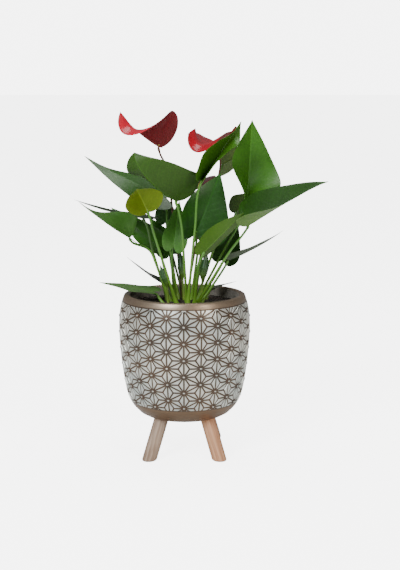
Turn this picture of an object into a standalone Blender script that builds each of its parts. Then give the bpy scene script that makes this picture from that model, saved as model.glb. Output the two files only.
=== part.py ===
"""A potted anthurium: a round planter on four splayed wooden legs, soil, leaves on stems and flowers.

Metres, +Z up. The plant faces -Y. Every place is measured from the pot's axis and the floor, and
the whole object is then shifted so that the origin is the middle of its box, on the floor.
"""

import math

import bmesh
import bpy
from mathutils import Matrix, Vector

MM = 0.001

# Driving dimensions, in metres.
LEG_HEIGHT = 0.0465  # floor to the underside of the pot
POT_HEIGHT = 0.1475  # underside to the top of the lip
POT_RADIUS = 0.0787  # at the belly
TABLE_LIP_HEIGHT = 0.194  # the lip's height above the floor that the plant's tables are set out for
POT_WALL = 0.008
POT_FLOOR = 0.009
LIP_WALL = 0.0073
SOIL_DEPTH_BELOW_LIP = 0.010
SOIL_DOME = 0.003
LEG_RADIUS = 0.0085
LEG_SPLAY = math.radians(24.5)
LEG_FOOT_ROUND = 0.002
LEG_RING_RADIUS = 0.0415  # of the legs' tops, where their axes meet the underside of the pot
BLADE_THICKNESS = 0.0008
STEM_RADIUS = 0.0017
FLOWER_STEM_RADIUS = 0.0015
SPADIX_SEAT = 0.0032  # from a spathe's middle surface up to its spadix
GAP = 0.0003  # clearance between touching pieces
STEM_SEAT = 0.0022  # from a blade's middle surface down to its stem's end

LEG_TOP_GAP = 0.0004  # a leg's top is faceted, so it keeps a little more clear of the pot

POT_SEGMENTS = 48
LEG_SIDES = 16
LEG_ANGLES = {"front_left": 228, "front_right": 312, "back_right": 54, "back_left": 126}

# The pot's outer curve: height as a share of the pot's, radius as a share of the belly's.
POT_CURVE = (
    (0.000, 0.560), (0.004, 0.600), (0.030, 0.690), (0.085, 0.795), (0.140, 0.853), (0.190, 0.884),
    (0.260, 0.912), (0.370, 0.945), (0.490, 0.972), (0.600, 0.990), (0.710, 1.000), (0.800, 0.999),
    (0.890, 0.978), (0.960, 0.945), (0.988, 0.925),
)

# Half of a leaf's outline from the notch at its stem to its tip. Lengthwise 1 is the distance
# from the stem to the tip; crosswise 1 is half the leaf's greatest width.
LEAF_OUTLINE = (
    (-0.030, 0.00), (-0.110, 0.12), (-0.170, 0.34), (-0.165, 0.62), (-0.080, 0.87), (0.060, 1.00),
    (0.220, 0.96), (0.420, 0.76), (0.600, 0.54), (0.760, 0.33), (0.880, 0.16), (0.950, 0.06),
    (1.000, 0.00),
)
# The round-ended outline of the leaves named in BLUNT_LEAVES.
BLUNT_OUTLINE = (
    (-0.030, 0.00), (-0.110, 0.12), (-0.170, 0.34), (-0.165, 0.62), (-0.080, 0.87), (0.060, 1.00),
    (0.220, 0.98), (0.420, 0.87), (0.600, 0.71), (0.760, 0.52), (0.880, 0.33), (0.960, 0.14),
    (1.000, 0.00),
)
SPATHE_OUTLINE = (
    (-0.040, 0.00), (-0.160, 0.14), (-0.230, 0.40), (-0.200, 0.72), (-0.060, 0.96), (0.140, 1.00),
    (0.340, 0.90), (0.540, 0.73), (0.720, 0.51), (0.860, 0.29), (0.940, 0.13), (0.975, 0.04),
    (1.000, 0.00),
)

# Every leaf: the joint where blade and stem meet, the tip, the side its upper face looks to, and
# its width, all in millimetres from the pot's axis and the floor. Left and right are the angles
# that each half rises by at the stem, halfway and at the tip; bend is how far the midrib turns
# down over its length, and tip_bend how much more it turns in the last third. Lobe, where given,
# is how far the lobes behind the stem reach, as a share of the outline's. The stem stands at its
# root on the soil and passes through its via point.
LEAVES = {
    "leaf_01": dict(joint=(-10, -34, 309), tip=(-56, -60, 366), face=(0.20, 0.80, 0.60), width=84,
                    left=(28, 30, 33), right=(52, 48, -10), bend=-50, tip_bend=-50,
                    root=(3, -7), via=(0, -22, 235)),
    "leaf_02": dict(joint=(-27, 22, 309), tip=(-123, 52, 355), face=(0.25, -0.50, 0.85), width=56,
                    left=(-6, -6, 0), right=(-4, -12, -50), bend=-8, tip_bend=0,
                    root=(-8, 16), via=(-20, 18, 262)),
    "leaf_03": dict(joint=(-42, -54, 299), tip=(-55, -30, 322), face=(-0.20, -0.70, 0.70), width=56,
                    left=(40, 35, 15), right=(35, 30, 15), bend=24, tip_bend=0,
                    root=(-9, -16), via=(-34, -40, 268)),
    "leaf_04": dict(joint=(-63, -38, 266), tip=(-117, -84, 312), face=(0.70, -0.25, 0.65), width=54,
                    left=(25, 25, 25), right=(45, -5, -25), bend=-8, tip_bend=0,
                    root=(-17, 0), via=(-37, -8, 240), lobe=0.2),
    "leaf_05": dict(joint=(-50, 8, 284), tip=(-135, 40, 303), face=(0.35, -0.05, 0.95), width=40,
                    left=(8, 6, 4), right=(8, 6, 4), bend=-12, tip_bend=0,
                    root=(-20, 6), via=(-38, 6, 244)),
    "leaf_06": dict(joint=(-35, 28, 250), tip=(-92, 56, 292), face=(0.25, -0.70, 0.65), width=36,
                    left=(10, 8, 6), right=(10, 8, 6), bend=8, tip_bend=0,
                    root=(-14, 35), via=(-23, 33, 212)),
    "leaf_07": dict(joint=(-20, 42, 240), tip=(-43, 60, 279), face=(0.20, -0.90, 0.40), width=34,
                    left=(10, 8, 6), right=(10, 8, 6), bend=10, tip_bend=0,
                    root=(-7, 38), via=(-15, 40, 214)),
    "leaf_08": dict(joint=(-13, -2, 253), tip=(-6, 14, 304), face=(0.15, -0.95, 0.25), width=32,
                    left=(20, 20, 10), right=(10, 10, 10), bend=4, tip_bend=0,
                    root=(-12, 4), via=(-15, -1, 226)),
    "leaf_09": dict(joint=(-23, 58, 276), tip=(-28, 76, 308), face=(0.05, -0.85, 0.50), width=28,
                    left=(8, 8, 6), right=(8, 8, 6), bend=6, tip_bend=0,
                    root=(-2, 44), via=(-17, 53, 239)),
    "leaf_10": dict(joint=(15, -4, 270), tip=(43, 2, 338), face=(0.00, -1.00, 0.10), width=72,
                    left=(58, 25, 5), right=(6, 5, 4), bend=10, tip_bend=0,
                    root=(8, 12), via=(15, 8, 236)),
    "leaf_11": dict(joint=(23, -38, 335), tip=(67, -6, 399), face=(0.15, -0.95, 0.35), width=60,
                    left=(68, 58, 66, 86, 90), right=(86, 82, 62, 10, -30), bend=14, tip_bend=10,
                    root=(4, -16), via=(13, -33, 278), lobe=0.6),
    "leaf_12": dict(joint=(75, 8, 301), tip=(82, 50, 399), face=(0.00, -0.90, 0.40), width=84,
                    left=(84, 44, 45), right=(50, 15, 0, 0, 0), bend=10, tip_bend=0,
                    root=(15, 10), via=(52, 10, 253)),
    "leaf_13": dict(joint=(75, -44, 281), tip=(164, -70, 334), face=(-0.55, -0.60, 0.60), width=62,
                    left=(20, 40, 45), right=(72, 46, 45), bend=8, tip_bend=16,
                    root=(15, -8), via=(49, -26, 241), lobe=0.3),
    "leaf_14": dict(joint=(62, 34, 288), tip=(89, 62, 309), face=(-0.70, 0.70, 0.00), width=38,
                    left=(6, 6, 4), right=(6, 6, 4), bend=8, tip_bend=0,
                    root=(15, 22), via=(33, 20, 238)),
    "leaf_15": dict(joint=(24, -43, 250), tip=(69, -63, 298), face=(0.15, 0.90, 0.40), width=44,
                    left=(60, 51, 19), right=(63, 47, 17), bend=8, tip_bend=0,
                    root=(12, -14), via=(15, -32, 218)),
    "leaf_16": dict(joint=(48, 32, 232), tip=(66, 50, 271), face=(-0.10, -0.90, 0.45), width=36,
                    left=(6, 6, 4), right=(6, 6, 4), bend=8, tip_bend=0,
                    root=(19, 17), via=(36, 20, 210)),
    "leaf_17": dict(joint=(52, 0, 234), tip=(120, 32, 266), face=(-0.50, 0.25, 0.80), width=34,
                    left=(10, 8, 4), right=(10, 8, 4), bend=-14, tip_bend=0,
                    root=(20, -3), via=(38, -2, 210), lobe=0.6),
    "leaf_18": dict(joint=(-24, 19, 201), tip=(-72, 51, 231), face=(0.65, 0.25, 0.75), width=26,
                    left=(8, 6, 4), right=(8, 6, 4), bend=-10, tip_bend=0,
                    root=(-16, 15), via=(-20, 17, 193)),
    "leaf_19": dict(joint=(-42, -8, 198), tip=(-104, 14, 205), face=(0.10, -0.10, 1.00), width=36,
                    left=(4, 4, 4), right=(4, 4, 4), bend=0, tip_bend=0,
                    root=(-24, -16), via=(-32, -12, 193)),
    "leaf_20": dict(joint=(36, 28, 196), tip=(64, 58, 199), face=(-0.20, 0.05, 1.00), width=16,
                    left=(6, 4, 4), right=(6, 4, 4), bend=4, tip_bend=0,
                    root=(26, 20), via=(30, 23, 192)),
    "leaf_21": dict(joint=(46, 56, 344), tip=(94, 96, 366), face=(-0.70, 0.65, 0.30), width=36,
                    left=(6, 6, 4), right=(6, 6, 4), bend=10, tip_bend=0,
                    root=(12, 38), via=(28, 55, 272), lobe=0.4),
}

BLUNT_LEAVES = ("leaf_01",)

# Leaves that have not opened: they stand on the soil on a short stalk of their own.
YOUNG_LEAVES = {
    "young_leaf_1": dict(joint=(22, 2, 214), tip=(27, 3, 245), face=(-0.1, -1.0, 0.1), width=16,
                         left=(20, 15, 10), right=(20, 15, 10), bend=6, tip_bend=0, root=(20, 2)),
    "young_leaf_2": dict(joint=(-21, -11, 208), tip=(-29, -13, 230), face=(0.3, -0.9, 0.2), width=14,
                         left=(30, 20, 10), right=(30, 20, 10), bend=6, tip_bend=0, root=(-19, -10)),
    "young_leaf_3": dict(joint=(-2, 14, 202), tip=(-6, 20, 244), face=(0.1, -1.0, 0.1), width=15,
                         left=(30, 20, 10), right=(30, 20, 10), bend=4, tip_bend=0, root=(-1, 13)),
}

# Every flower: the spathe is described as a leaf is, the spadix by its direction and its length.
FLOWERS = {
    "flower_left": dict(joint=(-31, 14, 369), tip=(-75, -8, 411), face=(0.64, 0.14, 0.75), width=90,
                        left=(92, 77, 25, -50, -80), right=(10, 5, 5, 10, 15), bend=-20, tip_bend=-10,
                        root=(-2, 26), via=(-20, 52, 330), spadix=(-0.10, 0.70, 0.70), length=22, lobe=0.75),
    "flower_right": dict(joint=(42, 30, 359), tip=(4, 4, 384), face=(0.70, 0.00, 0.70), width=84,
                         left=(85, 65, 48, -30, -70), right=(5, 5, 8, 30, 30), bend=-20, tip_bend=0,
                         root=(8, 30), via=(33, 32, 300), spadix=(0.10, 0.75, 0.70), length=18),
    "flower_low": dict(joint=(17, 20, 319), tip=(26, 52, 329), face=(-0.40, -0.30, 0.85), width=48,
                       left=(10, 10, 10), right=(10, 10, 10), bend=10, tip_bend=0,
                       root=(2, 20), via=(15, 30, 256), spadix=(-0.1, -0.3, 1.0), length=15),
}

COLOURS = {
    "pot": ((0.36, 0.25, 0.19), 0.35, 0.8),
    "soil": ((0.02, 0.015, 0.012), 0.95, 0.0),
    "leg": ((0.45, 0.30, 0.18), 0.7, 0.0),
    "leaf": ((0.05, 0.14, 0.03), 0.4, 0.0),
    "young": ((0.16, 0.26, 0.05), 0.5, 0.0),
    "stem": ((0.14, 0.27, 0.05), 0.5, 0.0),
    "flower_stem": ((0.22, 0.12, 0.06), 0.5, 0.0),
    "spathe": ((0.38, 0.01, 0.02), 0.25, 0.0),
    "spadix": ((0.62, 0.55, 0.22), 0.6, 0.0),
}


def clear_scene():
    for obj in list(bpy.data.objects):
        bpy.data.objects.remove(obj, do_unlink=True)


def material(name):
    """The Principled material of one kind of piece, made once."""
    if name in bpy.data.materials:
        return bpy.data.materials[name]
    colour, roughness, metallic = COLOURS[name]
    made = bpy.data.materials.new(name)
    made.use_nodes = True
    shader = made.node_tree.nodes["Principled BSDF"]
    shader.inputs["Base Color"].default_value = (*colour, 1.0)
    shader.inputs["Roughness"].default_value = roughness
    shader.inputs["Metallic"].default_value = metallic
    made.diffuse_color = (*colour, 1.0)
    return made


def add_object(name, mesh, kind, root, sharp=40):
    mesh.materials.append(material(kind))
    mesh.shade_smooth()
    mesh.set_sharp_from_angle(angle=math.radians(sharp))
    obj = bpy.data.objects.new(name, mesh)
    obj.parent = root
    bpy.context.scene.collection.objects.link(obj)
    return obj


def mesh_from(name, points, faces):
    """A mesh with its faces turned outwards."""
    mesh = bpy.data.meshes.new(name)
    mesh.from_pydata([tuple(p) for p in points], [], faces)
    bm = bmesh.new()
    bm.from_mesh(mesh)
    bmesh.ops.recalc_face_normals(bm, faces=bm.faces)
    if bm.calc_volume(signed=True) < 0:
        bmesh.ops.reverse_faces(bm, faces=bm.faces)
    bm.to_mesh(mesh)
    bm.free()
    return mesh


def smooth_through(points, share):
    """A point at a share, 0 to 1, of the way along a smooth curve through the points."""
    place = min(max(share, 0.0), 1.0) * (len(points) - 1)
    index = min(int(place), len(points) - 2)
    t = place - index
    before = points[max(index - 1, 0)]
    start = points[index]
    end = points[index + 1]
    after = points[min(index + 2, len(points) - 1)]
    blended = []
    for a, b, c, d in zip(before, start, end, after):
        blended.append(0.5 * (2 * b + (c - a) * t + (2 * a - 5 * b + 4 * c - d) * t * t
                              + (3 * b - a - 3 * c + d) * t * t * t))
    return tuple(blended)


# ---------------------------------------------------------------- pot, soil and legs

def pot_outer_radius(height):
    """The pot's outer radius at a height above its underside."""
    share = height / POT_HEIGHT
    for (z0, r0), (z1, r1) in zip(POT_CURVE, POT_CURVE[1:]):
        if share <= z1:
            return POT_RADIUS * (r0 + (r1 - r0) * (share - z0) / (z1 - z0))
    return POT_RADIUS * POT_CURVE[-1][1]


def lip_section():
    """The rounded lip, from its outer edge over the top to its inner edge."""
    outer = pot_outer_radius(POT_HEIGHT)
    middle = outer - LIP_WALL / 2
    start = POT_CURVE[-1][0] * POT_HEIGHT
    rise = POT_HEIGHT - start
    section = []
    for step in range(1, 6):
        angle = math.pi * step / 6
        section.append((middle + LIP_WALL / 2 * math.cos(angle), start + rise * math.sin(angle)))
    return section


def soil_height():
    return POT_HEIGHT - SOIL_DEPTH_BELOW_LIP


def pot_inner_radius(height):
    lip_inner = pot_outer_radius(POT_HEIGHT) - LIP_WALL
    return min(pot_outer_radius(height) - POT_WALL, lip_inner + (POT_HEIGHT - height) * 0.35)


def turned(section, segments):
    """Points and faces of a section turned about Z. The section starts and ends on the axis."""
    points = [(0, 0, section[0][1])]
    faces = []
    rings = section[1:-1]
    for radius, height in rings:
        for step in range(segments):
            angle = 2 * math.pi * step / segments
            points.append((radius * math.cos(angle), radius * math.sin(angle), height))
    last = len(points)
    points.append((0, 0, section[-1][1]))
    for step in range(segments):
        after = (step + 1) % segments
        faces.append((0, 1 + after, 1 + step))
        for ring in range(len(rings) - 1):
            low = 1 + ring * segments
            high = low + segments
            faces.append((low + step, low + after, high + after, high + step))
        top = 1 + (len(rings) - 1) * segments
        faces.append((top + step, top + after, last))
    return points, faces


def pot_section():
    section = [(0, 0)]
    section += [(POT_RADIUS * r, POT_HEIGHT * z) for z, r in POT_CURVE]
    section += lip_section()
    inner_heights = [0.90, 0.75, 0.55, 0.35, 0.22, 0.13]
    section += [(pot_inner_radius(POT_HEIGHT * share), POT_HEIGHT * share) for share in inner_heights]
    section.append((pot_inner_radius(POT_HEIGHT * 0.13) * 0.86, POT_FLOOR))
    section.append((0, POT_FLOOR))
    return section


def make_pot(root):
    points, faces = turned(pot_section(), POT_SEGMENTS)
    pot = add_object("pot", mesh_from("pot", points, faces), "pot", root)
    pot.location.z = LEG_HEIGHT
    return pot


def make_soil(root):
    """The soil fills the pot to just under the lip and rises a little towards the middle."""
    section = [(0, POT_FLOOR + GAP)]
    section.append((pot_inner_radius(POT_HEIGHT * 0.13) * 0.86 - 2 * GAP, POT_FLOOR + GAP))
    for share in (0.13, 0.22, 0.35, 0.55, 0.75):
        section.append((pot_inner_radius(POT_HEIGHT * share) - 2 * GAP, POT_HEIGHT * share))
    section.append((pot_inner_radius(soil_height()) - 2 * GAP, soil_height() - SOIL_DOME))
    section.append((pot_inner_radius(soil_height()) * 0.6, soil_height() - SOIL_DOME * 0.35))
    section.append((pot_inner_radius(soil_height()) * 0.25, soil_height()))
    section.append((0, soil_height()))
    points, faces = turned(section, POT_SEGMENTS)
    soil = add_object("soil", mesh_from("soil", points, faces), "soil", root)
    soil.location.z = LEG_HEIGHT
    return soil


def soil_top(x, y):
    """The height above the floor of the soil's surface at a place, in metres."""
    share = math.hypot(x, y) / pot_inner_radius(soil_height())
    stations = ((0.0, 0.0), (0.25, 0.0), (0.6, 0.35), (1.0, 1.0))
    drop = 1.0
    for (r0, d0), (r1, d1) in zip(stations, stations[1:]):
        if share <= r1:
            drop = d0 + (d1 - d0) * (share - r0) / (r1 - r0)
            break
    return LEG_HEIGHT + soil_height() - SOIL_DOME * drop


def leg_ring(height, radius, out, across):
    """One ring of a leg; without a height it follows the underside of the pot."""
    ring = []
    for step in range(LEG_SIDES):
        turn = 2 * math.pi * step / LEG_SIDES
        along = radius / math.cos(LEG_SPLAY) * math.cos(turn)
        beside = radius * math.sin(turn)
        z = leg_top_height(along, beside) if height is None else height
        run = LEG_RING_RADIUS + (LEG_HEIGHT - z) * math.tan(LEG_SPLAY) + along
        ring.append(out * run + across * beside + Vector((0, 0, z)))
    return ring


def make_leg(name, degrees, root):
    """A round dowel, cut level at the floor and shaped to the pot's underside at its top."""
    angle = math.radians(degrees)
    out = Vector((math.cos(angle), math.sin(angle), 0))
    across = Vector((-out.y, out.x, 0))
    foot = LEG_FOOT_ROUND
    levels = [
        (0.0, LEG_RADIUS - foot), (foot * 0.3, LEG_RADIUS - foot * 0.3), (foot, LEG_RADIUS),
        (LEG_HEIGHT * 0.5, LEG_RADIUS),
    ]
    levels += [(None, LEG_RADIUS * share) for share in (1.0, 0.75, 0.5, 0.25)]
    points = []
    faces = []
    for height, radius in levels:
        points += leg_ring(height, radius, out, across)
    for ring in range(len(levels) - 1):
        for step in range(LEG_SIDES):
            after = (step + 1) % LEG_SIDES
            low = ring * LEG_SIDES
            high = low + LEG_SIDES
            faces.append((low + step, low + after, high + after, high + step))
    faces.append(tuple(range(LEG_SIDES)))
    top = (len(levels) - 1) * LEG_SIDES
    faces.append(tuple(range(top, top + LEG_SIDES)))
    add_object(name, mesh_from(name, points, faces), "leg", root)


def leg_top_height(along, beside):
    """Where a line up the leg meets the underside of the pot, less a gap."""
    low = LEG_HEIGHT - 0.01
    high = LEG_HEIGHT + 0.02
    for _ in range(30):
        z = (low + high) / 2
        run = LEG_RING_RADIUS + (LEG_HEIGHT - z) * math.tan(LEG_SPLAY) + along
        reach = pot_outer_radius(max(z + LEG_TOP_GAP - LEG_HEIGHT, 0)) + LEG_TOP_GAP
        if z > LEG_HEIGHT - LEG_TOP_GAP and math.hypot(run, beside) < reach:
            high = z
        else:
            low = z
    return low


# ---------------------------------------------------------------- blades and stems

def place_of(leaf, key):
    """A place of the tables in metres, raised with the pot's lip if the planter's height changes."""
    return Vector(leaf[key]) * MM + Vector((0, 0, LEG_HEIGHT + POT_HEIGHT - TABLE_LIP_HEIGHT))


def frame_of(leaf):
    """The blade's own axes: along its midrib, to its right, and out of its upper face."""
    joint = place_of(leaf, "joint")
    tip = place_of(leaf, "tip")
    along = (tip - joint).normalized()
    up = Vector(leaf["face"])
    up = (up - along * up.dot(along)).normalized()
    return joint, (tip - joint).length, along, along.cross(up), up


def midrib(leaf, steps=40):
    """The midrib's points and directions in its own plane, from stem to tip, a unit apart."""
    heading = math.radians(leaf["bend"]) / 2
    points = [Vector((0, 0))]
    headings = []
    for step in range(steps):
        share = (step + 0.5) / steps
        late = max(share - 0.65, 0) / 0.35
        angle = heading - math.radians(leaf["bend"]) * share
        angle -= math.radians(leaf["tip_bend"]) * late * late
        headings.append(angle)
        points.append(points[-1] + Vector((math.cos(angle), math.sin(angle))) / steps)
    chord = points[-1]
    turn = -math.atan2(chord.y, chord.x)
    spin = Matrix.Rotation(turn, 2)
    points = [spin @ p / chord.length for p in points]
    headings = [angle + turn for angle in headings]
    return points, headings


def blade_point(leaf, lengthwise, crosswise, lift=0.0):
    """A point of the blade, lengthwise and crosswise as in its outline, lifted off its middle."""
    joint, length, along, right, up = leaf["frame"]
    points, headings = leaf["midrib"]
    steps = len(headings)
    if lengthwise < 0:
        lengthwise *= leaf.get("lobe", 1.0)
    place = lengthwise * steps
    index = min(max(int(math.floor(place)), 0), steps - 1)
    base = points[index] + (points[index + 1] - points[index]) * (place - index)
    between = min(max(place - 0.5, 0), steps - 1)
    below = min(int(between), steps - 2)
    heading = headings[below] + (headings[below + 1] - headings[below]) * (between - below)
    normal = up * math.cos(heading) - along * math.sin(heading)
    folds = [(angle,) for angle in (leaf["right"] if crosswise > 0 else leaf["left"])]
    fold = math.radians(smooth_through(folds, lengthwise)[0])
    if crosswise == 0:
        fold = 0.0
    half = crosswise * leaf["width"] * MM / 2
    place = joint + (along * base.x + up * base.y) * length
    place += right * half * math.cos(fold) + normal * abs(half) * math.sin(fold)
    tilt = fold if crosswise > 0 else -fold
    return place + (normal * math.cos(tilt) - right * math.sin(tilt)) * lift


def blade_mesh(name, leaf, outline, around=10, rings=(0.4, 0.75, 1.0)):
    """A closed thin heart: two faces meshed in rings about the stem, and the edge between them."""
    half = [smooth_through(outline, step / around) for step in range(around + 1)]
    edge = [(u, v) for u, v in half] + [(u, -v) for u, v in reversed(half[1:-1])]
    thick = leaf.get("thickness", BLADE_THICKNESS) / 2
    points = []
    faces = []
    count = len(edge)
    for lift in (thick, -thick):
        points.append(blade_point(leaf, 0, 0, lift))
        for ring in rings:
            points += [blade_point(leaf, u * ring, v * ring, lift) for u, v in edge]
    side = 1 + len(rings) * count
    for start in (0, side):
        for step in range(count):
            after = (step + 1) % count
            fan = (start, start + 1 + step, start + 1 + after)
            faces.append(fan if start else fan[::-1])
            for ring in range(len(rings) - 1):
                low = start + 1 + ring * count
                high = low + count
                quad = (low + step, high + step, high + after, low + after)
                faces.append(quad if start else quad[::-1])
    rim = 1 + (len(rings) - 1) * count
    for step in range(count):
        after = (step + 1) % count
        faces.append((rim + step, rim + after, side + rim + after, side + rim + step))
    return mesh_from(name, points, faces)


def stem_route(leaf, samples=8):
    """Points from the soil to just under the blade's joint, on a smooth bent line."""
    joint, _, along, _, up = leaf["frame"]
    x, y = leaf["root"]
    root = Vector((x * MM, y * MM, soil_top(x * MM, y * MM) + GAP))
    via = place_of(leaf, "via")
    end = joint - up * STEM_SEAT
    run = (end - via).length
    arrive = (along * 0.8 + up * 0.6).normalized() * run * 0.35
    leave = (via - root).normalized() * run * 0.4
    route = [root + (via - root) * step / 3 for step in range(3)]
    for step in range(samples + 1):
        t = step / samples
        a, b, c, d = via, via + leave, end - arrive, end
        route.append(a * (1 - t) ** 3 + b * 3 * t * (1 - t) ** 2 + c * 3 * t * t * (1 - t) + d * t ** 3)
    return route


def tube_mesh(name, route, radii, sides=6):
    """A closed round tube along a route, with a radius for each of its points."""
    points = []
    faces = []
    side = Vector((1, 0, 0))
    for index, place in enumerate(route):
        before = route[max(index - 1, 0)]
        after = route[min(index + 1, len(route) - 1)]
        ahead = (after - before).normalized()
        if index == 0:
            ahead = Vector((0, 0, 1))
        side = (side - ahead * side.dot(ahead)).normalized()
        other = ahead.cross(side)
        for step in range(sides):
            angle = 2 * math.pi * step / sides
            points.append(place + (side * math.cos(angle) + other * math.sin(angle)) * radii[index])
    for ring in range(len(route) - 1):
        for step in range(sides):
            after = (step + 1) % sides
            low = ring * sides
            high = low + sides
            faces.append((low + step, low + after, high + after, high + step))
    faces.append(tuple(reversed(range(sides))))
    faces.append(tuple(range((len(route) - 1) * sides, len(route) * sides)))
    return mesh_from(name, points, faces)


def make_stem(name, leaf, radius, kind, root):
    route = stem_route(leaf)
    last = len(route) - 1
    radii = [radius * (1.35 - 0.5 * min(index / last * 1.6, 1)) for index in range(last + 1)]
    add_object(name, tube_mesh(name, route, radii), kind, root)


def make_leaf(name, leaf, root):
    leaf["frame"] = frame_of(leaf)
    leaf["midrib"] = midrib(leaf)
    outline = BLUNT_OUTLINE if name in BLUNT_LEAVES else LEAF_OUTLINE
    add_object(name, blade_mesh(name, leaf, outline), "leaf", root)
    make_stem(name + "_stem", leaf, STEM_RADIUS, "stem", root)


def make_young_leaf(name, leaf, root):
    """An unopened leaf: a folded blade that grows into its own short stalk."""
    leaf["frame"] = frame_of(leaf)
    leaf["midrib"] = midrib(leaf)
    joint, length, along, right, up = leaf["frame"]
    x, y = leaf["root"]
    foot = Vector((x * MM, y * MM, soil_top(x * MM, y * MM) + GAP))
    tip = joint + along * length
    route = [foot, foot.lerp(joint, 0.5), joint]
    route += [joint.lerp(tip, share) for share in (0.15, 0.35, 0.6, 0.85, 1.0)]
    broad = leaf["width"] * MM / 2
    radii = [0.0015, 0.0014, 0.0016, broad * 0.5, broad * 0.62, broad * 0.46, broad * 0.2, 0.0004]
    add_object(name, tube_mesh(name, route, radii, sides=8), "young", root)


def make_flower(name, flower, root):
    flower["frame"] = frame_of(flower)
    flower["midrib"] = midrib(flower)
    joint, _, _, _, up = flower["frame"]
    spathe = blade_mesh(name + "_spathe", flower, SPATHE_OUTLINE)
    add_object(name + "_spathe", spathe, "spathe", root)
    make_stem(name + "_stem", flower, FLOWER_STEM_RADIUS, "flower_stem", root)
    lean = Vector(flower["spadix"]).normalized()
    foot = joint + up * SPADIX_SEAT + lean * 2.0 * MM
    shares = (0, 0.12, 0.4, 0.7, 0.9, 1.0)
    radii = [r * MM for r in (1.1, 1.9, 1.9, 1.7, 1.3, 0.5)]
    route = [foot + lean * flower["length"] * MM * share for share in shares]
    add_object(name + "_spadix", tube_mesh(name + "_spadix", route, radii, sides=8), "spadix", root)


def centre_over_origin(root):
    """Shifts the whole object so that its box stands centred on the origin."""
    bpy.context.view_layer.update()
    corners = [obj.matrix_world @ v.co for obj in root.children for v in obj.data.vertices]
    low = Vector([min(c[axis] for c in corners) for axis in range(3)])
    high = Vector([max(c[axis] for c in corners) for axis in range(3)])
    root.location = (-(low.x + high.x) / 2, -(low.y + high.y) / 2, -low.z)


def main():
    clear_scene()
    root = bpy.data.objects.new("anthurium", None)
    bpy.context.scene.collection.objects.link(root)
    make_pot(root)
    make_soil(root)
    for place, degrees in LEG_ANGLES.items():
        make_leg("leg_" + place, degrees, root)
    for name, leaf in LEAVES.items():
        make_leaf(name, leaf, root)
    for name, leaf in YOUNG_LEAVES.items():
        make_young_leaf(name, leaf, root)
    for name, flower in FLOWERS.items():
        make_flower(name, flower, root)
    centre_over_origin(root)


main()
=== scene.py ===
"""The looks of the potted anthurium: fine leaves, flowers, planter, legs and soil round the CAD frame.

Every piece repeats the shape of the CAD node that it stands for, with the detail the node leaves out.
Places in the tables are in millimetres from the pot's axis and the floor, as the CAD model's are.
"""

import math
import random

import bmesh
import bpy
import numpy as np
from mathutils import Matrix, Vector, noise


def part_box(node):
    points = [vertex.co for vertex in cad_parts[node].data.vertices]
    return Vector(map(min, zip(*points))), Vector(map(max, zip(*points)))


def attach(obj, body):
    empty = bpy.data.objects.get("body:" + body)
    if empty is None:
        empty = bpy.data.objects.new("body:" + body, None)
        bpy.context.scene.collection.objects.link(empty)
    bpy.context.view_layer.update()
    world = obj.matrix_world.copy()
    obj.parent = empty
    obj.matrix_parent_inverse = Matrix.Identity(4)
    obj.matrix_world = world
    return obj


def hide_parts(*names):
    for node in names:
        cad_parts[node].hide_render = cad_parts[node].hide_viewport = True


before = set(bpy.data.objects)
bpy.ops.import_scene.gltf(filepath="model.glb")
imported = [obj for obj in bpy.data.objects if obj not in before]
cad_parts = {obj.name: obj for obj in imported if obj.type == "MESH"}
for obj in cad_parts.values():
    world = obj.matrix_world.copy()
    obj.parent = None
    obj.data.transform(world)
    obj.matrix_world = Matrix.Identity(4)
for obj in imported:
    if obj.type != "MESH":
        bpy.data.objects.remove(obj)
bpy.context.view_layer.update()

MM = 0.001
POT_LOW, POT_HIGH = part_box("pot")
AXIS = Vector(((POT_LOW[0] + POT_HIGH[0]) / 2, (POT_LOW[1] + POT_HIGH[1]) / 2, 0))
POT_BASE = POT_LOW[2]
POT_HEIGHT = POT_HIGH[2] - POT_LOW[2]
POT_RADIUS = (POT_HIGH[0] - POT_LOW[0]) / 2
LEG_RADIUS = 0.0085
LEG_SPLAY = math.radians(24.5)
LEG_RING_RADIUS = 0.0415
LIP_WALL = 0.0073
POT_WALL = 0.008
POT_FLOOR = 0.009  # the inner floor, above the underside
INNER_SLOPE = 0.35  # how fast the wall under the lip widens, going down
SOIL_DEPTH_BELOW_LIP = 0.010
SOIL_DOME = 0.003
BLADE_THICKNESS = 0.0006
STEM_RADIUS = 0.0017
FLOWER_STEM_RADIUS = 0.0015
SPADIX_SEAT = 0.0032  # from a spathe's middle surface up to the CAD spadix
ROOT_SINK = 0.001  # how far a stem's foot goes under the soil
CREASE = 0.0012  # how softly the two halves of a blade meet at the midrib
EDGE_WAVE = 0.9  # millimetres that a blade's edge waves up and down

POT_CURVE = (
    (0.000, 0.560), (0.004, 0.600), (0.030, 0.690), (0.085, 0.795), (0.140, 0.853), (0.190, 0.884),
    (0.260, 0.912), (0.370, 0.945), (0.490, 0.972), (0.600, 0.990), (0.710, 1.000), (0.800, 0.999),
    (0.890, 0.978), (0.960, 0.945), (0.988, 0.925),
)
LEAF_OUTLINE = (
    (-0.030, 0.00), (-0.110, 0.12), (-0.170, 0.34), (-0.165, 0.62), (-0.080, 0.87), (0.060, 1.00),
    (0.220, 0.96), (0.420, 0.76), (0.600, 0.54), (0.760, 0.33), (0.880, 0.16), (0.950, 0.06),
    (1.000, 0.00),
)
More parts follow.
